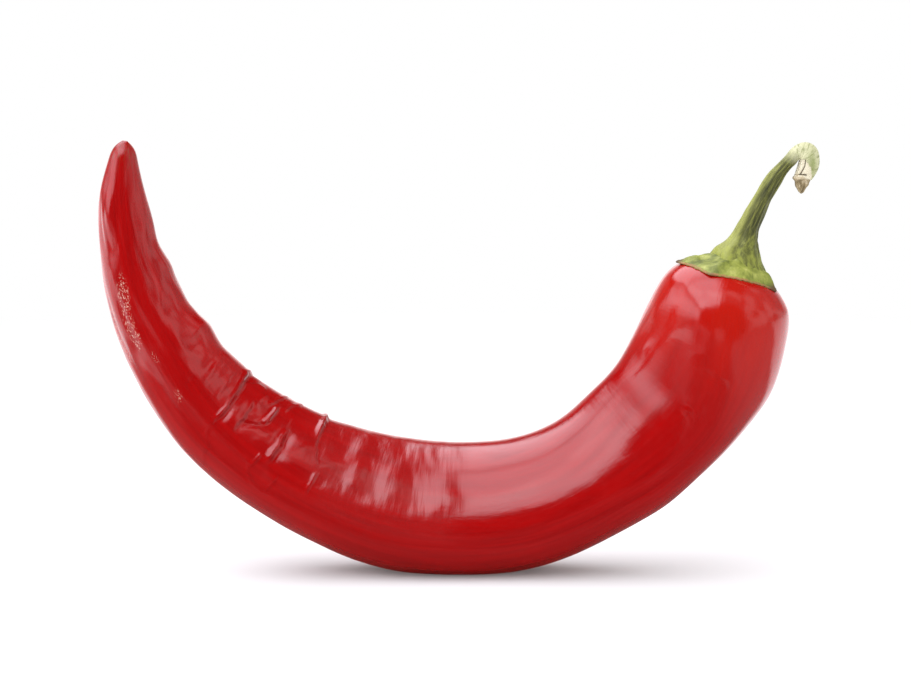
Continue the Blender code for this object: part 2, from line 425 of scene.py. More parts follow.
# Broad swellings and hollows on the front: across, up, two reaches, the turn of the first, and the height.
SWELLINGS = (
    (-35.2, 26.2, 2.6, 1, 55, 0.16),
    (-31.8, 27.4, 1.6, 1.1, 60, 0.22),
    (-33.2, 24.2, 1.6, 0.8, 10, -0.22),
    (-27.4, 21.6, 1.6, 1.1, 60, -0.28),
    (-30.6, 21.6, 2, 1.3, 20, 0.18),
    (-26, 17.8, 2.8, 1.7, -20, 0.18),
    (-24, 20.6, 1.8, 1.4, 60, 0.16),
    (-36, 17, 5, 2, -45, 0.08),
    (-31.6, 15.8, 1.8, 1.2, 20, -0.2),
    (-24.8, 24.6, 2.2, 1.6, 0, -0.12),
    (-19.5, 22.5, 1.4, 4, 0, -0.08),
    (-20.6, 20, 0.8, 1.8, 0, 0.08),
    # the shoulder's pale bulge and the hollow below it
    (38, 40.8, 3.6, 2.9, 90, 0.4),
    (34.8, 45.2, 2, 0.8, 75, -0.1),
    (31.2, 42.2, 2.4, 1, 68, 0.22),
    (36.2, 37.4, 2.6, 1.8, 60, -0.07),
    (29.8, 38.2, 2, 1, 65, -0.12),
    (29.6, 36.2, 1.4, 0.6, 70, 0.12),
    (28.2, 34.2, 1.6, 1, 60, -0.08),
    (38.6, 35, 1.6, 0.9, -30, 0.08),
    (34.2, 38.8, 1.8, 0.9, 30, 0.05),
    (39.6, 37.6, 3, 0.8, 75, 0.12),
    (41.9, 38, 5, 1.3, 80, -0.2),
    # the fuller outer side of the bend, below the shoulder
    (48.8, 29.8, 6.5, 4.5, 68, 0.9),
    (33, 11.6, 6, 4, 36, 0.75),
    # kinks of the left arm's inner edge
    (-46.6, 49.4, 1.8, 1.5, 120, 0.3),
    (-48, 53.4, 1.8, 1.2, 105, -0.2),
    (-40.8, 39.4, 1.8, 1.6, 125, 0.45),
    (-43.2, 43.4, 2, 1.4, 120, -0.3),
    (-38, 36.2, 1.6, 1.3, 125, -0.22),
    # long soft ridges and dents up the left arm
    (-55.4, 57.4, 2.6, 0.8, 85, 0.26),
    (-53.8, 57.6, 2.2, 0.8, 85, -0.2),
    (-54.8, 52.4, 2.4, 1.1, 80, -0.32),
    (-55.8, 62.8, 2.6, 0.5, 80, -0.14),
    (-54.6, 47.2, 3, 0.8, 97, 0.22),
    (-53.2, 42.6, 2.4, 0.8, 108, -0.2),
    (-52.6, 38.4, 2.6, 0.7, 112, 0.18),
    (-50.8, 35.2, 2.4, 0.6, 118, -0.16),
    (-49.4, 32.8, 2.8, 0.6, 120, 0.14),
    (-46.8, 28.8, 2.8, 0.6, 125, -0.14),
    (-43.8, 25.6, 3, 0.6, 130, 0.12),
    (-40.6, 21.8, 3, 0.6, 135, -0.1),
    (-37, 18, 3.2, 0.6, 140, 0.1),
    (-49.9, 55.4, 2.6, 0.7, 98, 0.14),
    (-48.4, 50, 2.4, 0.8, 105, -0.16),
    (-47.6, 45.2, 2.4, 0.8, 110, 0.14),
    (-45.8, 42, 1.8, 1, 118, -0.24),
    (-44.6, 38, 2, 0.9, 125, 0.16),
    (-41.8, 36.4, 1.4, 1.1, 130, -0.26),
    (-43, 33, 2, 0.9, 125, 0.14),
    (-39.6, 33.4, 1.4, 0.8, 60, -0.18),
    (-42.4, 30.4, 1.2, 0.8, 60, -0.14),
    (-51.6, 63, 2.6, 0.4, 95, 0.1),
    (-52.8, 60, 2.2, 0.4, 92, -0.08),
)

# Patches of small scars, the same way, but with how thick the scars lie.
SCARS = (
    (-53, 44.6, 3.2, 0.9, 100, 0.9),
    (-51.6, 38.8, 3, 0.8, 112, 0.9),
    (-55.2, 41.8, 0.8, 0.6, 90, 0.9),
    (-54.3, 38.4, 2.6, 0.5, 110, 0.7),
    (-52.6, 35, 1.8, 0.4, 115, 0.5),
    (-48, 34.6, 1.2, 0.5, 120, 0.5),
    (-44.3, 28.4, 1.5, 0.7, 110, 0.5),
    (45.8, 43.4, 0.5, 0.3, 0, 0.3),
)


def swelling_relief(at, swelling):
    x, y, long, short, turn, height = swelling
    turn = math.radians(turn)
    dx, dy = at[..., 0] - x, at[..., 1] - y
    along = dx * math.cos(turn) + dy * math.sin(turn)
    across = dy * math.cos(turn) - dx * math.sin(turn)
    return height * np.exp(-((along / long) ** 2) - (across / short) ** 2)


# The front is turned this far to the inside of the bend, and its folds and swellings fade from these cosines.
FRONT_TURN = math.radians(20)
FOLDS_FADE = -0.30
SWELLINGS_FADE = -0.95

# The skin's unevenness: height, size and seed of each layer.
UNEVEN = ((0.10, 14, 11), (0.03, 5, 12), (0.006, 1.6, 13))


def fold_wander(points):
    """How far the folds stray from their paths, across and up."""
    return np.stack([ripple(points, 1.1, 21), ripple(points, 1.1, 22)], -1) * 0.10


def belly_share(points, facing):
    """1 on the waved belly, to the left of the middle, and 0 away from it."""
    return window(points[..., 0], (-26, -20), (3, -4)) * smooth(np.sin(facing), -0.3, 0.2)


def toward_front(facing, low):
    """1 on the front and 0 on the back, with its fade starting where the facing's cosine is low."""
    return smooth(np.cos(facing - FRONT_TURN), low, 0)


def fruit_relief(points, normals, travel, facing):
    """How far the skin stands off the bare fruit, in mm."""
    at = seen(points)
    wander = fold_wander(points)
    relief = np.zeros(points.shape[:2])
    front = toward_front(facing, FOLDS_FADE)
    for fold in FOLDS:
        relief += front * fold_relief(at + wander, fold)
    back = smooth(-np.cos(facing + FRONT_TURN), 0.30, 0.65)
    for fold in BACK_FOLDS:
        relief += back * fold_relief(points[..., (0, 2)] + wander, fold)
    front = toward_front(facing, SWELLINGS_FADE)
    for swelling in SWELLINGS:
        relief += front * swelling_relief(at, swelling)
    near = smooth(-normals[..., 1], 0, 0.25)
    for patch in LEANING:
        relief += near * leaning_relief(at, patch)
    relief += belly_waves(points, travel, facing)

    # The inside of the bend is a little flat.
    relief -= 0.5 * smooth(np.sin(facing), 0.75, 1) * window(travel, (22, 40), (100, 80))[:, None]
    relief += arm_ridges(points, travel, facing)

    # The whole skin is a little uneven.
    for height, size, seed in UNEVEN:
        relief += height * ripple(points, size, seed)
    return relief


def belly_waves(points, travel, facing):
    """Fine waves across the fruit's run, on the belly."""
    run = travel[:, None] + 0.5 * ripple(points, 5, 3)
    broad = 0.012 * np.sin(run * math.tau / 2.6) * ripple(points, 3, 4)
    narrow = 0.002 * np.sin(run * math.tau / 1.1 + 1)
    return belly_share(points, facing) * (broad + narrow)


def arm_ridges(points, travel, facing):
    """Long soft ridges towards the tip, that fade at the outline's two edges, and small dents."""
    arm = window(travel, (108, 128), (153, 140))[:, None]
    turn = facing + 0.02 * travel[:, None]
    ridges = 0.09 * np.sin(6 * turn) + 0.05 * np.sin(13 * turn + 2) + 0.02 * np.sin(23 * turn + 1)
    faded = 0.2 + 0.8 * smooth(np.abs(np.cos(facing)), 0.1, 0.6)
    ridges = arm * faded * ridges * ripple(points, (12, 12, 7), 15)
    return ridges + 0.045 * arm * ripple(points, (1.6, 1.6, 4.5), 16)


def make_fruit(material):
    points, travel, facing = fruit_grid()
    normals = grid_normals(points)
    wander = fold_wander(points)
    # Where shade is painted into the folds' hollows, for the skin's colour.
    groove = sum(groove_shade(seen(points) + wander, fold) for fold in FOLDS)
    groove = groove * toward_front(facing, FOLDS_FADE)
    belly = belly_share(points, facing)
    points = points + normals * fruit_relief(points, normals, travel, facing)[..., None]
    points[..., 2] = np.maximum(points[..., 2], 0.0)
    along = travel[:, None] * np.ones_like(facing)
    scars = smooth(-normals[..., 1], 0, 0.2) * sum(swelling_relief(seen(points), patch) for patch in SCARS)
    straight = np.stack([10 * np.cos(facing), 10 * np.sin(facing), along], -1)
    values = {"straight": straight, "scar": scars, "groove": np.clip(groove, 0, 1), "belly": belly}
    fruit = grid_mesh("fruit_skin", points, material, values)
    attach(fruit, "root")
    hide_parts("fruit")
    return fruit


# ---- calyx

# The crown's frame: a point in the middle of the calyx's foot, and its axis, that leans to +X.
CROWN = np.array([42.9, 0.0, 48.2])
CROWN_LEAN = math.radians(16.5)
CROWN_UP = np.array([math.sin(CROWN_LEAN), 0.0, math.cos(CROWN_LEAN)])
CROWN_RIGHT = np.array([math.cos(CROWN_LEAN), 0.0, -math.sin(CROWN_LEAN)])
CROWN_BACK = np.array([0.0, 1.0, 0.0])

# The calyx's rim: its radius, and the angle and length of each of its points.
RIM_RADIUS = 7.0
TEETH = ((-178, 1.3), (-114, 0.9), (-20, 1.6), (33, 1.2), (82, 1.0), (130, 1.3))
TOOTH_WIDTH = math.radians(15)
VEIN_WIDTH = math.radians(7)
BLADE_WIDTH = math.radians(42)
# Past this radius a tooth leaves the shoulder, and sinks by this much for each mm.
FIRM_RADIUS = 7.1
TOOTH_DROOP = 0.35
SHEET = 0.3
NECK_RADIUS = 3.3
NECK_SHIFT = 1.3
CALYX_PROFILE = ((0.0, 3.1), (0.12, 2.55), (0.3, 2.1), (0.65, 1.4), (1.0, 0.6))
CALYX_SIDES = 264
CALYX_RINGS = 46


# Rays to the shoulder start this high above the crown, and one that misses it counts as this low.
RAY_START = 8.0
RAY_MISSED = -4.0


def shoulder_height(fruit, across, back):
    """How high the fruit's shoulder stands in the crown's frame, below each place of a grid."""
    tree = BVHTree.FromObject(fruit, bpy.context.evaluated_depsgraph_get())
    down = Vector(-CROWN_UP)
    height = np.empty(across.shape)
    for i in np.ndindex(across.shape):
        start = CROWN + CROWN_UP * RAY_START + CROWN_RIGHT * across[i] + CROWN_BACK * back[i]
        hit = tree.ray_cast(Vector(start * MM), down)
        height[i] = RAY_MISSED if hit[0] is None else RAY_START - hit[3] / MM
    return height


def tooth_reach(angle):
    """How far the teeth reach past the rim's round, and how near a tooth's middle the angle is, 0 to 1."""
    reach = np.zeros_like(angle)
    vein = np.zeros_like(angle)
    for middle, length in TEETH:
        away = np.abs((angle - math.radians(middle) + math.pi) % math.tau - math.pi)
        reach += length * np.exp(-((away / TOOTH_WIDTH) ** 1.3))
        vein = np.maximum(vein, bump(away, 0, VEIN_WIDTH))
    return reach, vein


def make_calyx(fruit, material):
    angle = angles(CALYX_SIDES)[None]
    share = np.linspace(0, 1, CALYX_RINGS)[:, None]
    reach, vein = tooth_reach(angle)
    ragged = 0.04 * np.sin(23 * angle + 1) + 0.04 * np.sin(41 * angle) + 0.03 * np.sin(67 * angle + 2)
    rim = RIM_RADIUS + reach + ragged * (1 - vein)
    radius = NECK_RADIUS + (rim - NECK_RADIUS) * share
    across = radius * np.cos(angle) + NECK_SHIFT * (1 - share)
    back = radius * np.sin(angle)
    shoulder = shoulder_height(fruit, across, back)
    firm_radius = np.minimum(radius, FIRM_RADIUS)
    firm = shoulder_height(fruit, firm_radius * np.cos(angle), firm_radius * np.sin(angle))
    held = np.maximum(shoulder, firm - TOOTH_DROOP * (radius - FIRM_RADIUS))
    shoulder = np.where(radius > FIRM_RADIUS, held, shoulder)
    profile = np.interp(share, *np.array(CALYX_PROFILE).T)
    blade = bump(angle % math.tau, math.pi, BLADE_WIDTH)
    profile = profile - 0.65 * blade * smooth(share, 0.15, 0.6)
    thickness = SHEET + np.maximum(profile - shoulder - SHEET, 0) * smooth(share, 1, 0.5)
    thickness = thickness + 0.30 * vein * window(share, (0.15, 0.5), (1.02, 0.7))
    where = CROWN + CROWN_RIGHT * across[..., None] + CROWN_BACK * back[..., None]
    surface = where + CROWN_UP * shoulder[..., None]
    thickness = thickness + 0.05 * ripple(surface, 1.3, 31) + 0.02 * ripple(surface, 0.5, 32)
    top = surface + CROWN_UP * thickness[..., None]
    below = surface - CROWN_UP * 0.02
    edge = 0.5 * (top[-1:] + below[-1:]) + unit(where[-1:] - CROWN) * 0.09
    points = np.concatenate([top, edge, below[::-1]])
    rim_share = np.concatenate([share, [[1.0]], share[::-1] * 0 + 1]) * np.ones_like(angle)
    rim_distance = np.concatenate([rim - radius, 0 * rim, rim - radius[::-1]])
    flat = [np.concatenate([place, place[-1:], place[::-1]]) for place in (across, back)]
    tip = np.concatenate([share**3 * reach, reach, share[::-1] ** 3 * reach])
    values = {"straight": np.stack([*flat, rim_share], -1), "rim": rim_distance, "tip": tip}
    calyx = grid_mesh("calyx_skin", points, material, values)
    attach(calyx, "root")
    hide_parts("calyx")


# ---- stem

# The stem's outline, from its flared foot over its hook to the torn end of its knob. Each row has the x and z
# of its outer side and of its inner side, its half depth and its middle's y.
STEM_OUTLINE = (
    (40, 50, 49.2, 48.3, 4.2, 0),
    (40.6, 51.3, 48.4, 50.1, 3.7, 0),
    (41.3, 52.3, 47.9, 52, 3.1, 0),
    (42.4, 53.15, 47.75, 53, 2.6, -0.1),
    (43.4, 54.1, 47.75, 53.9, 2.15, -0.1),
    (44.2, 55.4, 47.9, 55, 1.85, -0.15),
    (45, 56.9, 48.4, 56.4, 1.7, -0.2),
    (45.8, 58.5, 48.95, 57.8, 1.6, -0.25),
    (47, 60.5, 49.7, 59.7, 1.45, -0.3),
    (48.2, 62.6, 50.65, 61.4, 1.35, -0.4),
    (49.5, 64.5, 51.8, 63.4, 1.3, -0.45),
    (51, 66, 52.9, 65, 1.25, -0.5),
    (52.3, 67.4, 53.75, 65.9, 1.25, -0.55),
    (53, 68.2, 54, 66.3, 1.35, -0.6),
    (53.8, 68.8, 54.1, 66.25, 1.5, -0.65),
    (55, 69.2, 54.05, 66.1, 1.7, -0.7),
    (56.15, 68.9, 53.95, 65.85, 1.85, -0.7),
    (56.95, 68.1, 53.85, 65.5, 1.9, -0.7),
    (57.3, 67, 53.7, 65.1, 1.85, -0.7),
    (57.3, 65.5, 53.5, 64.65, 1.75, -0.75),
    (56.85, 64.2, 53.3, 64.2, 1.55, -0.8),
    (56.2, 63.2, 53.1, 63.75, 1.3, -0.85),
)
STEM_RINGS = 190
STEM_SIDES = 84

# Rings inside the torn end: how small they are, and how far in.
HOLLOW = ((0.86, -0.03), (0.72, 0.2), (0.5, 0.75), (0.2, 1.0))
HOLLOW_WAY = np.array([0.25, 0, 0.9])

# The bare patch on the knob's front, where the skin tore off: its corners, across and up, and its depth.
BARE_PATCH = (
    *((54.15, 66.4), (54.95, 66.1), (55.85, 65.05), (56.15, 63.9)),
    *((56.1, 62.4), (52.4, 62.8), (52.6, 64.2), (53.3, 65.5)),
)
BARE_DEPTH = 0.16
# The torn slits, across and up: sunk, and painted dark as shade; the second runs along the flaps' lower edge.
SLITS = (
    ((54.95, 66.1), (54.8, 65.15), (54.35, 64.3), (54.1, 63.9)),
    ((53.2, 63.95), (54.2, 63.8), (55.2, 63.65)),
)
SLIT_DEPTH = 0.4
# The greener patch on the knob's right: across, up, two reaches, turn and strength.
GREEN_PATCH = (56.1, 65.4, 1.7, 0.65, 95, 1.0)


def make_stem(material):
    line = curve_through(STEM_OUTLINE, STEM_RINGS)
    outer = np.stack([line[:, 0], line[:, 5], line[:, 1]], -1)
    inner = np.stack([line[:, 2], line[:, 5], line[:, 3]], -1)
    middle = 0.5 * (outer + inner)
    half = 0.5 * (outer - inner)
    depth = line[:, 4]
    angle = angles(STEM_SIDES)
    travel = travelled(middle)

    # Ribs run up from the foot and fade in the knob.
    ribbed = (1 - smooth(travel, 17.5, 20.0))[:, None]
    foot = (1 - smooth(travel, 1, 4.5))[:, None]
    twist = 0.04 * travel[:, None]
    ribs = 0.045 * np.cos(5 * (angle + twist) + 0.6) + 0.03 * np.cos(9 * (angle + twist) + 2.0)
    ribs = ribs + foot * 0.05 * np.cos(6 * angle + 1.0)
    size = 1 + ribbed * ribs
    backward = depth[:, None, None] * CROWN_BACK
    section = half[:, None] * np.cos(angle)[:, None] - backward * np.sin(angle)[:, None]
    points = middle[:, None] + size[..., None] * section
    across = np.linalg.norm(half, axis=1)[:, None] * np.cos(angle)
    back = depth[:, None] * np.sin(angle)
    round_place = np.stack([across, back, travel[:, None] * np.ones_like(angle)], -1)
    normals = grid_normals(points)
    bare = bare_patch(points) * smooth(travel, 19.5, 20.3)[:, None]
    slit = torn_slits(points)
    relief = 0.035 * ripple(round_place * (1, 1, 0.25), 0.5, 41) + 0.02 * ripple(round_place, 1.2, 42)
    relief = relief - BARE_DEPTH * bare - SLIT_DEPTH * slit
    green = swelling_relief(seen(points), GREEN_PATCH) * (points[..., 1] < 0)
    points = points + normals * relief[..., None]

    # The torn end is hollow, and its inside is painted dark as shade, over a partly bare colour.
    lip = points[-1]
    centre = lip.mean(0)
    hollow = [centre + (lip - centre) * shrink + HOLLOW_WAY * rise for shrink, rise in HOLLOW]
    points = np.concatenate([points, hollow])
    values = {"straight": np.concatenate([round_place, np.repeat(round_place[-1:], len(HOLLOW), 0)])}
    for key, value, inside in (("bare", bare, 0.6), ("slit", slit, 0.8), ("green", green, 0.0)):
        values[key] = np.concatenate([value, np.full((len(HOLLOW), STEM_SIDES), inside)])
    stem = grid_mesh("stem_skin", points, material, values)
    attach(stem, "root")
    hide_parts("stem")


def bare_patch(points):
    at = seen(points)
    inside = np.full(at.shape[:-1], 1e9)
    corners = np.array(BARE_PATCH)
    for a, b in zip(corners, np.roll(corners, -1, axis=0)):
        run = (b - a) / np.linalg.norm(b - a)
        rel = at - a
        inside = np.minimum(inside, rel[..., 0] * run[1] - rel[..., 1] * run[0])
    inside = inside + 0.10 * ripple(points, 0.35, 51)
    front = smooth(-points[..., 1], -0.2, 0.4)
    return smooth(inside, 0, 0.12) * front


def torn_slits(points):
    deepest = np.zeros(points.shape[:-1])
    for path in SLITS:
        signed, along = path_distance(seen(points), path)
        deepest = np.maximum(deepest, bump(signed, 0, 0.08 + 0.07 * along))
    return deepest * (points[..., 1] < -0.5)


# ---- stub

# The stub's outline, from inside the knob to its point: left x, right x, z, half depth.
STUB_OUTLINE = (
    (53.7, 55.5, 64.1, 0.8),
    (53.3, 55.8, 63.8, 1.15),
    (53.1, 55.85, 63.5, 1.3),
    (53.4, 55.75, 63.1, 1.1),
    (53.5, 55.6, 62.6, 1),
    (53.65, 55.35, 62.1, 0.85),
    (53.9, 55.05, 61.6, 0.65),
    (54.2, 54.85, 61.2, 0.4),
    (54.45, 54.55, 61, 0.1),
)
STUB_MIDDLE_Y = -0.9
STUB_RINGS = 70
STUB_SIDES = 72


def make_stub(material):
    line = curve_through(STUB_OUTLINE, STUB_RINGS)
    angle = angles(STUB_SIDES)[None]
    middle = 0.5 * (line[:, 0] + line[:, 1])[:, None]
    half = 0.5 * (line[:, 1] - line[:, 0])[:, None]
    share = np.linspace(0, 1, STUB_RINGS)[:, None]
    folds = 0.08 * np.cos(3 * angle + 0.5) + 0.06 * np.cos(7 * angle + 2 * share)
    folds = folds + 0.03 * np.cos(12 * angle + 1)
    size = 1 + folds * smooth(share, 0.1, 0.3)
    # The front is a little hollow, as a dry skin folds.
    dent = 0.35 * bump(np.sin(angle), 1, 0.35) * smooth(share, 0.2, 0.4)
    x = middle + half * size * np.cos(angle)
    y = STUB_MIDDLE_Y - line[:, 3:4] * (size - dent) * np.sin(angle)
    z = line[:, 2:3] + (0.07 * np.sin(5 * angle + 1) + 0.05 * np.sin(9 * angle)) * (1 - share)
    points = np.stack([x, y, z], -1)
    outward = unit(points - points.mean(1, keepdims=True))
    points = points + outward * 0.035 * ripple(points, 0.35, 61)[..., None]
    values = {"straight": points - points.mean((0, 1)), "share": share * np.ones_like(angle)}
    stub = grid_mesh("stub_skin", points, material, values)
    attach(stub, "root")
    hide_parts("stub")


# ---- materials


class Graph:
    """A node tree, and the few kinds of node that the skins and the lights need."""

    def __init__(self, tree):
        self.nodes = tree.nodes
        self.links = tree.links

    def node(self, kind, inputs=None, **settings):
        """A node with these settings, and its inputs linked or set."""
        node = self.nodes.new(kind)
        for key, value in settings.items():
            setattr(node, key, value)
        self.feed(node, inputs or {})
        return node

    def feed(self, node, inputs):
        """Links each input of the node to a socket, or sets it to a plain value."""
        for key, value in inputs.items():
            if isinstance(value, bpy.types.NodeSocket):
                self.links.new(value, node.inputs[key])
            else:
                node.inputs[key].default_value = value

    def split(self, vector):
        return self.node("ShaderNodeSeparateXYZ", {0: vector}).outputs

    def dot(self, vector, direction):
        node = self.node("ShaderNodeVectorMath", {0: vector, 1: direction}, operation="DOT_PRODUCT")
        return node.outputs["Value"]

    def math(self, operation, a, b):
        return self.node("ShaderNodeMath", {0: a, 1: b}, operation=operation).outputs[0]

    def product(self, first, *others):
        for other in others:
            first = self.math("MULTIPLY", first, other)
        return first

    def range(self, value, low, high, to_low=0.0, to_high=1.0, shape="SMOOTHSTEP"):
        inputs = {"Value": value, "From Min": low, "From Max": high, "To Min": to_low, "To Max": to_high}
        return self.node("ShaderNodeMapRange", inputs, interpolation_type=shape).outputs["Result"]

    def blend(self, factor, a, b):
        """A mix of two numbers."""
        return self.node("ShaderNodeMix", {0: factor, 2: a, 3: b}).outputs[0]

    def mix(self, factor, a, b):
        """A mix of two colours."""
        a, b = ((*colour, 1) if isinstance(colour, tuple) else colour for colour in (a, b))
        return self.node("ShaderNodeMix", {0: factor, 6: a, 7: b}, data_type="RGBA").outputs[2]

    def noise(self, place, scale, detail=4.0, roughness=0.55, distortion=0.0):
        inputs = {"Scale": scale, "Detail": detail, "Roughness": roughness, "Distortion": distortion}
        return self.node("ShaderNodeTexNoise", {"Vector": place, **inputs}).outputs["Fac"]


class Material(Graph):
    """A procedural material."""

    def __init__(self, name):
        self.material = bpy.data.materials.new(name)
        self.material.use_nodes = True
        super().__init__(self.material.node_tree)
        self.shader = self.nodes["Principled BSDF"]

    def set(self, **values):
        """Links or sets the shader's inputs."""
        self.feed(self.shader, {key.replace("_", " "): value for key, value in values.items()})

    def value(self, name, output="Fac"):
        return self.node("ShaderNodeAttribute", attribute_name=name).outputs[output]

    def place(self, *scale):
        """The place that the skin's mesh carries, as if it were straight, stretched."""
        inputs = {"Vector": self.value("straight", "Vector"), "Scale": scale}
        return self.node("ShaderNodeMapping", inputs).outputs["Vector"]

    def cell_edge(self, place, scale):
        """How far each place is from the edge of its cell."""
        inputs = {"Vector": place, "Scale": scale}
        return self.node("ShaderNodeTexVoronoi", inputs, feature="DISTANCE_TO_EDGE").outputs["Distance"]

    def ramp(self, value, stops):
        """A colour ramp of (position, colour) stops."""
        node = self.node("ShaderNodeValToRGB", {"Fac": value})
        elements = node.color_ramp.elements
        while len(elements) < len(stops):
            elements.new(0.5)
        for element, (position, colour) in zip(elements, stops):
            element.position = position
            element.color = (*colour, 1)
        return node.outputs["Color"]

    def bump(self, height, distance, below=None):
        """Bump of a height between 0 and 1, with its distance in mm."""
        inputs = {"Distance": distance * MM, "Height": height}
        if below is not None:
            inputs["Normal"] = below
        return self.node("ShaderNodeBump", inputs).outputs["Normal"]


# Colours, as linear red, green and blue.
STREAK_REDS = ((0.3, (0.222, 0.0005, 0.0008)), (0.7, (0.290, 0.0008, 0.0010)))
CLOUD_RED = (0.315, 0.0012, 0.0012)
SHOULDER_RED = (0.355, 0.006, 0.002)
# Painted shade for the folds' hollows.
GROOVE_PAINTED_SHADE = (0.14, 0.0006, 0.0006)
TIP_BROWN = (0.16, 0.03, 0.01)
SCAR_PINK = (0.72, 0.46, 0.36)
CAP_GREENS = (
    (0.36, (0.1, 0.125, 0.012)),
    (0.5, (0.19, 0.22, 0.026)),
    (0.62, (0.27, 0.3, 0.05)),
    (0.74, (0.38, 0.39, 0.1)),
)
RIM_BROWN = (0.30, 0.13, 0.05)
TOOTH_BROWN = (0.10, 0.055, 0.02)
STEM_GREENS = ((0.36, (0.035, 0.040, 0.004)), (0.50, (0.070, 0.076, 0.008)), (0.64, (0.18, 0.19, 0.026)))
# Painted light for the side of the stem that faces the lights.
OUTER_PAINTED_LIGHT = (0.28, 0.30, 0.060)
FOOT_GREEN = (0.25, 0.28, 0.030)
KNOB_PALE = (0.54, 0.54, 0.33)
ARC_GREEN = (0.18, 0.20, 0.06)
KNOB_GREEN = (0.17, 0.22, 0.03)
BARE_CREAM = (0.62, 0.57, 0.42)
# Painted shade for the slits and the inside of the torn end.
SLIT_PAINTED_SHADE = (0.07, 0.05, 0.025)
WOOD_BROWNS = ((0.35, (0.10, 0.07, 0.03)), (0.5, (0.27, 0.21, 0.11)), (0.68, (0.52, 0.44, 0.30)))
WOOD_PALE = (0.50, 0.43, 0.29)


def red_skin():
    skin = Material("red_skin")
    travel = skin.split(skin.value("straight", "Vector"))["Z"]
    colour = red_colour(skin, travel)
    colour = scarred(skin, colour)
    spots = skin.range(skin.noise(skin.place(1, 1, 1), 0.9, 3), 0.5, 0.65)
    colour = skin.mix(skin.product(skin.range(travel, 149, 154), spots), colour, TIP_BROWN)
    skin.set(Base_Color=colour)
    fine = skin.noise(skin.place(1, 1, 0.2), 3.5, 4)
    belly = skin.value("belly")
    roughness = skin.math("ADD", skin.range(fine, 0.3, 0.8, 0.11, 0.18), skin.product(belly, 0.085))
    streaks = skin.noise(skin.place(0.22, 0.22, 1), 1.6, 4, 0.55)
    across = skin.bump(skin.product(streaks, skin.range(belly, 0, 1, 0.4, 1.1)), 0.034)
    grain = skin.bump(skin.noise(skin.place(1, 1, 0.15), 2.2, 3, 0.55), 0.03, across)
    skin.set(Roughness=roughness, Normal=grain, Coat_Normal=skin.bump(fine, 0.008, across))
    skin.set(Coat_Weight=0.5, Coat_Roughness=0.1)
    skin.set(Sheen_Weight=0.3, Sheen_Roughness=0.35, Sheen_Tint=(1, 0.06, 0.04, 1))
    return skin.material


def red_colour(skin, travel):
    """The red: streaked along the fruit, clouded, more orange on the shoulder, with painted shade in the
    folds.
    """
    streaks = skin.noise(skin.place(1, 1, 0.07), 0.9, 5)
    clouds = skin.noise(skin.place(1, 1, 0.4), 0.16, 3)
    colour = skin.ramp(streaks, STREAK_REDS)
    colour = skin.mix(skin.range(clouds, 0.45, 0.75, 0, 0.5), colour, CLOUD_RED)
    shoulder = skin.product(skin.range(travel, 30, 6), skin.range(clouds, 0.3, 0.7, 0.5, 1))
    colour = skin.mix(shoulder, colour, SHOULDER_RED)
    # Painted shade: darker red in the folds' hollows.
    return skin.mix(skin.product(skin.value("groove"), 0.5), colour, GROOVE_PAINTED_SHADE)


def scarred(skin, colour):
    """The colour with thin curled pale lines and flecks where the skin is scarred."""
    place = skin.place(1.3, 1.3, 1)
    line = skin.range(skin.cell_edge(place, 1.7), 0.13, 0.04)
    fleck = skin.range(skin.noise(place, 2.2, 4, 0.6), 0.51, 0.60)
    scar = skin.product(line, fleck, skin.range(skin.value("scar"), 0.15, 0.5), 0.8)
    return skin.mix(scar, colour, SCAR_PINK)


def green_cap():
    cap = Material("green_cap")
    place = cap.place(1, 1, 1)
    mottle = cap.noise(place, 0.55, 4, 0.55, 0.2)
    colour = cap.ramp(mottle, CAP_GREENS)
    edge = cap.range(cap.value("rim"), 0, 0.30, 1, 0)
    edge = cap.product(edge, cap.range(cap.noise(place, 1.6, 4, 0.6), 0.3, 0.6, 0.3, 0.9))
    colour = cap.mix(edge, colour, RIM_BROWN)
    colour = cap.mix(cap.range(cap.value("tip"), 0.55, 1.1, 0, 0.9), colour, TOOTH_BROWN)
    cap.set(Base_Color=colour)
    cap.set(Roughness=cap.range(mottle, 0.3, 0.8, 0.62, 0.42))
    cap.set(Normal=cap.bump(cap.noise(place, 2.6, 5, 0.6), 0.08))
    return cap.material


def green_stem():
    stem = Material("green_stem")
    place = stem.place(1, 1, 0.08)
    streaks = stem.noise(place, 2.6, 5, 0.65)
    colour = stem.ramp(streaks, STEM_GREENS)
    outward, _, along = stem.split(stem.value("straight", "Vector"))
    pale = stem.noise(stem.place(1, 1, 0.5), 1, 4, 0.6)
    # The stem's outer side, towards the lights, is painted paler: painted light, broken by noise.
    outer = stem.product(stem.range(outward, 0.4, 1.6), stem.range(pale, 0.3, 0.6, 0.6, 1))
    colour = stem.mix(outer, colour, OUTER_PAINTED_LIGHT)
    foot = stem.product(stem.range(along, 7.0, 1.5), stem.range(pale, 0.4, 0.65, 0.2, 0.9))
    colour = stem.mix(foot, colour, FOOT_GREEN)
    colour = knob_colour(stem, colour, along, pale)
    stem.set(Base_Color=colour)
    stem.set(Roughness=stem.range(streaks, 0.3, 0.8, 0.6, 0.42))
    stem.set(Normal=stem.bump(stem.noise(place, 2.8, 6, 0.65), 0.14))
    return stem.material


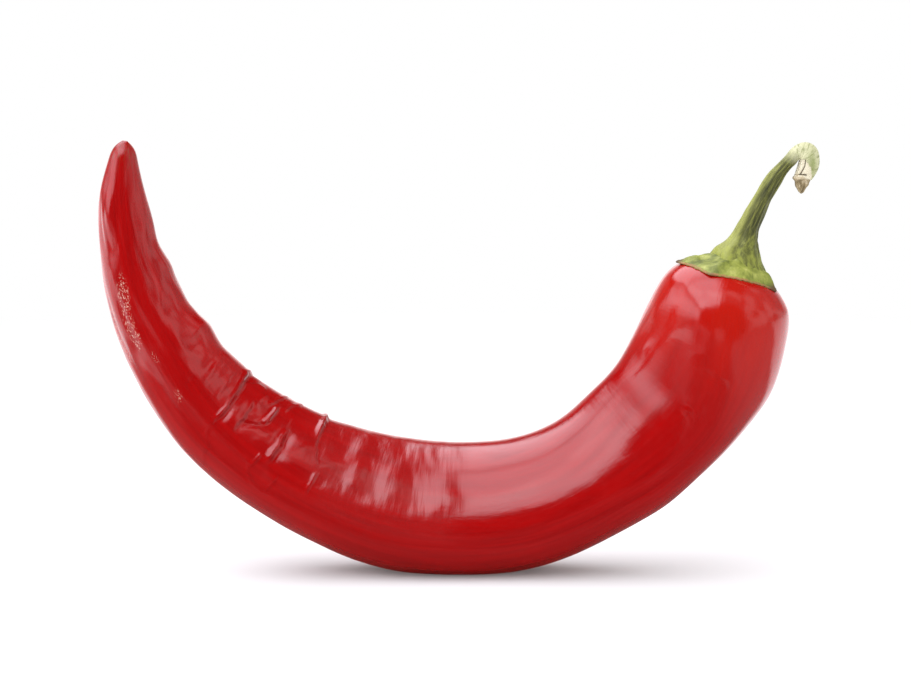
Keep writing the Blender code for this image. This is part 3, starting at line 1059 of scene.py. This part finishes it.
def knob_colour(stem, colour, along, pale):
    """The stem's colour: a pale knob with arcs, greener on its right, bare where torn, slits painted dark as
    shade.
    """
    knob = stem.product(stem.range(along, 18.5, 21.5), stem.range(pale, 0.35, 0.6, 0.75, 1))
    colour = stem.mix(knob, colour, KNOB_PALE)
    arcs = stem.range(stem.noise(stem.place(0.3, 0.3, 2.2), 2.0, 3), 0.48, 0.66, 0, 0.7)
    colour = stem.mix(stem.product(arcs, stem.range(along, 17.5, 20.0)), colour, ARC_GREEN)
    green = stem.product(stem.value("green"), stem.range(pale, 0.35, 0.6, 0.6, 1))
    colour = stem.mix(green, colour, KNOB_GREEN)
    colour = stem.mix(stem.value("bare"), colour, BARE_CREAM)
    # Painted shade: dark in the slits and inside the torn end.
    return stem.mix(stem.range(stem.value("slit"), 0.2, 0.8, 0, 0.85), colour, SLIT_PAINTED_SHADE)


def dry_wood():
    wood = Material("dry_wood")
    place = wood.place(1, 1, 0.5)
    grain = wood.noise(place, 1.8, 6, 0.65)
    colour = wood.ramp(grain, WOOD_BROWNS)
    colour = wood.mix(wood.range(wood.value("share"), 0.35, 0.12), colour, WOOD_PALE)
    wood.set(Base_Color=colour)
    wood.set(Roughness=wood.range(grain, 0.3, 0.7, 0.9, 0.7))
    wood.set(Normal=wood.bump(grain, 0.12))
    return wood.material


# ---- stage


def make_camera():
    data = bpy.data.cameras.new("camera")
    data.lens = VIEW_LENS
    data.sensor_width = 36
    data.clip_start = 0.01
    data.clip_end = 20
    camera = add_object("camera", data)
    target = Vector(VIEW_TARGET)
    back = Vector((0, -math.cos(VIEW_TILT), math.sin(VIEW_TILT)))
    camera.location = (target + back * VIEW_DISTANCE) * MM
    camera.rotation_euler = (-back).to_track_quat("-Z", "Y").to_euler()
    bpy.context.scene.camera = camera


# A softbox's colour, and its seam's half width, as a share of the light, and how bright the seam stays.
# Blender spreads an area light's energy over four times its area.
LIGHT_COLOUR = (1, 0.97, 1.06)
SEAM = (0.06, 0.7)
ENERGY_SPREAD = 4


def softbox(name, middle, size, radiance, edges, lean=0.0, seam=None):
    """A flat light that faces down, or leans by degrees so that it faces right, in metres.

    It is dimmer near its edges, over these shares of its size, and may have a seam along X, at a share of Y.
    """
    data = bpy.data.lights.new(name, "AREA")
    data.shape = "RECTANGLE"
    data.size, data.size_y = size
    data.energy = ENERGY_SPREAD * radiance * size[0] * size[1]
    data.color = LIGHT_COLOUR
    data.use_nodes = True
    graph = Graph(data.node_tree)
    place = graph.split(graph.node("ShaderNodeNewGeometry").outputs["Parametric"])
    strength = 1.0
    for axis, edge in zip("XY", edges):
        strength = graph.product(graph.range(graph.math("PINGPONG", place[axis], 0.5), 0, edge), strength)
    if seam is not None:
        away = graph.math("PINGPONG", graph.math("SUBTRACT", place["Y"], seam), 1)
        strength = graph.product(strength, graph.range(away, 0, *SEAM))
    graph.feed(graph.nodes["Emission"], {"Strength": strength})
    light = add_object(name, data)
    light.location = middle
    light.rotation_euler = (0, -math.radians(lean), 0)


# The room in the gloss: its walls' brightness, and the ways to the photographer's dark place and to the dim
# corner low on the left, each with the angles in which it ends.
WALLS = 0.55
PHOTOGRAPHER = (-0.0696, -0.9951, 0.0698)
PHOTOGRAPHER_EDGE = (50, 36)
DIM_CORNER = (-0.97, -0.1, 0.22)
DIM_CORNER_EDGE = (45, 15)

# How the gloss changes with a direction's x, y or height, or with noise: from and to, and the strengths at
# both. The ceiling is dark. Away from the right its dark starts lower, in two drops towards the back.
FROM_RIGHT = (0.62, 0.48)
FIRST_DROP = (-0.36, -0.16, 0, 0.12)
SECOND_DROP = (0, 0.5, 0, 0.40)
CEILING = (0.86, 0.93, 1, 0.06)
BEHIND = (0, 0.5, 1, 0.6)
BACKDROP = (0.90, 0.985, 0, 1.2)
CLUTTER = (0.38, 0.60, 0.35, 1.35)

# The same for the diffuse light, which comes more from the right and from behind.
DIFFUSE_ACROSS = (-0.6, 0.6, 0.52, 0.68)
DIFFUSE_DEEP = (-0.6, 0.6, 0.57, 0.67)


def cosines(edge):
    return [math.cos(math.radians(degrees)) for degrees in edge]


def gloss_strength(world, way):
    """How bright the room is each way, as the gloss shows it."""
    x, y, z = world.split(way)
    walls = world.range(world.dot(way, PHOTOGRAPHER), *cosines(PHOTOGRAPHER_EDGE), WALLS, 0)
    drop = world.math("ADD", world.range(y, *FIRST_DROP), world.range(y, *SECOND_DROP))
    height = world.math("ADD", z, world.product(world.range(x, *FROM_RIGHT), drop))
    ceiling = world.range(height, *CEILING)
    behind = world.range(y, *BEHIND, "LINEAR")
    corner = world.range(world.dot(way, DIM_CORNER), *cosines(DIM_CORNER_EDGE), 1, 0.4)
    clutter = world.range(world.noise(way, 2.6, 1, 0.5), *CLUTTER)
    room = world.product(walls, ceiling, behind, corner, clutter)
    return world.math("ADD", room, world.range(y, *BACKDROP))


def diffuse_strength(world, way):
    """How much light the room gives each way."""
    x, y, _ = world.split(way)
    across = world.range(x, *DIFFUSE_ACROSS, "LINEAR")
    return world.math("ADD", across, world.range(y, *DIFFUSE_DEEP, "LINEAR"))


def make_world():
    """A pale room, that looks plain white to the camera."""
    scenery = bpy.data.worlds.new("studio")
    scenery.use_nodes = True
    bpy.context.scene.world = scenery
    world = Graph(scenery.node_tree)
    way = world.node("ShaderNodeTexCoord").outputs["Generated"]
    path = world.node("ShaderNodeLightPath").outputs
    strength = world.blend(path["Is Diffuse Ray"], gloss_strength(world, way), diffuse_strength(world, way))
    strength = world.blend(path["Is Camera Ray"], strength, 1)
    world.feed(world.nodes["Background"], {"Strength": strength, "Color": (1, 1, 1, 1)})


# The floor's half size in metres, its white to the camera and in the light it throws back, its whites in the
# gloss by how pale it is there, its glow as a share of plain white, and how it fades to that.
FLOOR_SIZE = 5.0
FLOOR_SEEN = 0.66
FLOOR_BOUNCE = 0.95
FLOOR_GLOSS = (0, 1.5, 0.02, 0.60)
FLOOR_GLOW = 0.25
FLOOR_FADE = (0.14, 0.32, 0.08, 1)


def painted_floor_reflection(white, x, y):
    """Painted reflection: the floor's paleness in the gloss, dark before the pepper, paler to the sides and
    behind.
    """
    left = white.product(white.range(x, -0.08, -0.16, 0, 1.3), white.range(y, -0.14, -0.06, 0.30, 1))
    sides = white.math("ADD", white.range(x, 0.03, 0.09, 0, 0.5), left)
    depth = white.math("ADD", white.range(y, 0.06, 0, 0.6, 1), white.range(y, 0.10, 0.35, 0, 0.8))
    pale = white.product(sides, depth)
    for strip in ((-0.022, -0.012, 0.0, 0.3), (0.02, 0.06, 0.0, 1.2)):
        pale = white.math("MAXIMUM", pale, white.range(y, *strip))
    return pale


def make_floor():
    """A white floor that fades to plain white far off."""
    white = Material("floor_white")
    place = white.node("ShaderNodeNewGeometry").outputs["Position"]
    x, y, _ = white.split(place)
    path = white.node("ShaderNodeLightPath").outputs
    tone = white.blend(path["Is Camera Ray"], FLOOR_BOUNCE, FLOOR_SEEN)
    tone = white.mix(path["Is Glossy Ray"], tone, white.range(painted_floor_reflection(white, x, y), *FLOOR_GLOSS))
    white.set(Base_Color=tone, Roughness=0.9, Specular_IOR_Level=0)
    away = white.node("ShaderNodeVectorMath", {0: place}, operation="LENGTH").outputs["Value"]
    # Near the pepper some plain white is still mixed in: a painted glow that lightens the floor's shadow.
    faded = white.product(white.range(away, *FLOOR_FADE), path["Is Camera Ray"])
    glow = white.product(path["Is Diffuse Ray"], FLOOR_GLOW)
    plain = white.node("ShaderNodeEmission").outputs[0]
    inputs = {0: white.math("ADD", faded, glow), 1: white.shader.outputs[0], 2: plain}
    surface = white.node("ShaderNodeMixShader", inputs).outputs[0]
    white.feed(white.nodes["Material Output"], {"Surface": surface})
    mesh = bpy.data.meshes.new("floor")
    corners = ((-1, -1), (1, -1), (1, 1), (-1, 1))
    mesh.from_pydata([(a * FLOOR_SIZE, b * FLOOR_SIZE, 0) for a, b in corners], [], [(0, 1, 2, 3)])
    mesh.materials.append(white.material)
    floor = add_object("floor", mesh)


def build():
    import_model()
    make_camera()
    make_world()
    softbox("softbox_above", (-0.46, 0.05, 0.9), (1.40, 2.74), 1.9, (0.18, 0.14), seam=0.52)
    softbox("softbox_left", (-1.31, -0.36, 0.57), (1.10, 2.2), 1.35, (0.45, 0.25), lean=70)
    make_floor()
    bpy.context.scene.view_settings.view_transform = "Standard"
    fruit = make_fruit(red_skin())
    make_calyx(fruit, green_cap())
    make_stem(green_stem())
    make_stub(dry_wood())


build()
